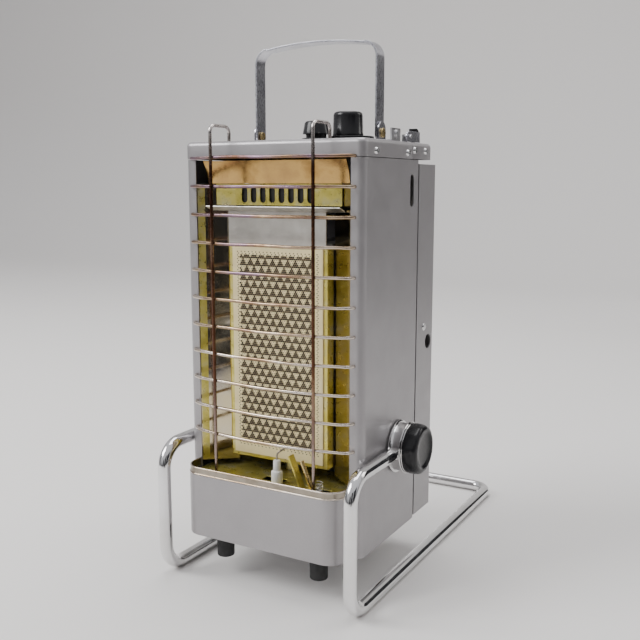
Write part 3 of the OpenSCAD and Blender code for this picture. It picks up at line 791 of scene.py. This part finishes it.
def hubs_and_clamps():
    """Chrome drums on the casing's sides, and the black clamp grips with their bright rings."""
    drum = [(0, 4.2), (0, 23.2), (0.4, 24), (1.2, 24), (1.6, 23.4), (1.7, 22.2), (2.4, 21.8)]
    drum += [(9.2, 21.8), (9.9, 22.2), (10.1, 23.0), (10.5, 23.5), (11.5, 23.5), (11.9, 23.0), (11.9, 4.2)]
    grip = [(0, 4.3), (0, 22.4), (0.2, 22.9), (1.0, 23.0), (1.3, 22.6), (1.5, 22.2), (2.2, 22.7)]
    grip += [(4.0, 22.9), (10.6, 22.4), (12.2, 21.9), (13.4, 20.9), (14.1, 19.4), (14.4, 17.8)]
    grip += [(14.2, 16.8), (13.3, 15.6), (12.5, 13), (12.2, 8), (12.1, 0.02)]
    ring = [(0, 4.3), (0, 22.7), (0.25, 23.0), (1.1, 23.0), (1.35, 22.7), (1.35, 4.3)]
    drum_x, grip_x = 90.7, 103.0

    def lobes(angle, along, radius):
        if along < 1.5 or radius < 17:
            return 1.0
        return 1 - 0.008 * (0.5 + 0.5 * math.cos(12 * angle))

    drums = []
    for side, axis, end in ((1, "x", "right"), (-1, "-x", "left")):
        drums.append(lathe(drum, (side * drum_x, CLAMP_Y, CLAMP_Z), axis, 96))
        place = (side * grip_x, CLAMP_Y, CLAMP_Z)
        verts, faces = lathe(grip, place, axis, 192, lobes)
        piece("clamp_grip_" + end, verts, faces, "black_plastic", "clamp_knob_" + end)
        verts, faces = lathe(ring, place, axis, 96)
        piece("clamp_ring_" + end, verts, faces, "chrome_tube", "clamp_knob_" + end, hides=False)
    verts, faces = join(drums)
    piece("stand_drums", verts, faces, "chrome_tube", "stand_hubs")


def controls():
    """The gas knob on its plate and the hooded igniter button."""
    profile = [(0, 3.3), (0, 13.2), (0.4, 13.5), (1.6, 13.5), (2.2, 13.2), (17.2, 12.8), (18.9, 12.5)]
    profile += [(20.0, 11.6), (20.5, 10.4), (20.5, 0.02)]
    plate, clear = 4, 0.4
    verts, faces = lathe(profile, (46.5, 55, CAP_TOP + plate + clear), "z", 96)
    piece("knob_grip", verts, faces, "black_plastic", "control_knob")
    profile = [(-6, 6.0), (10.4, 6.0), (10.4, 9.1), (5.0, 9.1), (5.0, 11.3), (5.3, 11.6), (14.2, 9.9)]
    profile += [(15.3, 9.2), (15.9, 7.8), (16, 6.0), (16, 0.02)]
    verts, faces = lathe(profile, (30, 28, CAP_TOP), "z", 64)
    piece("button_top", verts, faces, "black_plastic", "igniter_button")


def level_wire(z, sag, bow=320.0, out=16.4):
    """Centre line of one bowed guard wire, its two ends turned back to the flanges."""
    path = []
    for i in range(-17, 18):
        x = 4.3 * i
        y = bow - out - math.sqrt(bow * bow - x * x)
        wave = sag[0] * math.sin(x / 23.0) + sag[1] * math.cos(x / 11.0)
        path.append((x, y + 0.25 * wave, z + wave))
    hook = [(77.0, -6.3), (79.4, -4.6), (81.0, -2.7), (81.7, -0.9), (81.9, 0.8)]
    left = [(-x, y, z) for x, y in reversed(hook)]
    right = [(x, y, z) for x, y in hook]
    return left + path + right


def guard():
    """Eleven slightly uneven level wires and the two uprights looped over the cap."""
    low, pitch = 137.0, 24.65
    rng = random.Random(11)
    parts = []
    for row in range(11):
        sag = [rng.uniform(-0.25, 0.25) for _ in range(5)]
        parts.append(sweep(level_wire(low + row * pitch, sag), WIRE_R, 16))
    verts, faces = join(parts)
    piece("guard_level_wires", verts, faces, "guard_nickel", "guard_wires")
    uprights = []
    y, r, shoulder, back = -14.2, 6.0, 405.0, 13.8
    for x in (-51.0, 51.0):
        path = [(x, y, 98.0), (x, y, 200.0), (x, y, 300.0), (x, y, shoulder)]
        path += arc((x, y + r, shoulder), r, 180, 90, "yz", 10)
        path += arc((x, back - r, shoulder), r, 90, 0, "yz", 10)
        path.append((x, back, CAP_TOP + 0.2))
        uprights.append(sweep(path, WIRE_R, 16))
    verts, faces = join(uprights)
    piece("guard_upright_wires", verts, faces, "guard_brown", "guard_uprights")


def spark_gear():
    """Insulator barrels, bent electrode and the little return spring."""
    x, y, foot = 8.5, -5, BASE_TOP - 2
    profile = [(0, 5.0), (0.4, 5.2), (10.8, 5.2), (11.6, 4.8), (12, 4.0), (12.3, 3.2), (13, 3.4)]
    profile += [(20.5, 3.4), (21.6, 3.0), (22, 2.0), (22, 0.02)]
    verts, faces = lathe(profile, (x, y, foot), "z", 40)
    piece("igniter_barrel", verts, faces, "white_ceramic", "igniter_insulator")
    path = [(x, y, 119), (x, y, 123.6), (8.9, -4.6, 125.6), (10.2, -3.4, 127.2)]
    path += [(13, -0.6, 129.2), (15.6, 2.0, 131)]
    verts, faces = sweep(path, 0.8, 12)
    piece("igniter_wire", verts, faces, "heat_steel", "igniter_electrode")
    coil_x, coil_y, coil_r = 52, -6, 3.2
    coil = []
    for step in range(0, 200, 4):
        a = step / 9
        coil.append((coil_x + coil_r * math.cos(a), coil_y + coil_r * math.sin(a), 98.4 + step * 0.045))
    verts, faces = sweep(coil, 0.45, 8)
    piece("bracket_spring", verts, faces, "screw_steel", "sensor_bracket", hides=False)


cap_and_lid()
burner_face()
plaque_body()
burner_trim()
base_hems()
stand_pipe()
hubs_and_clamps()
controls()
guard()
spark_gear()
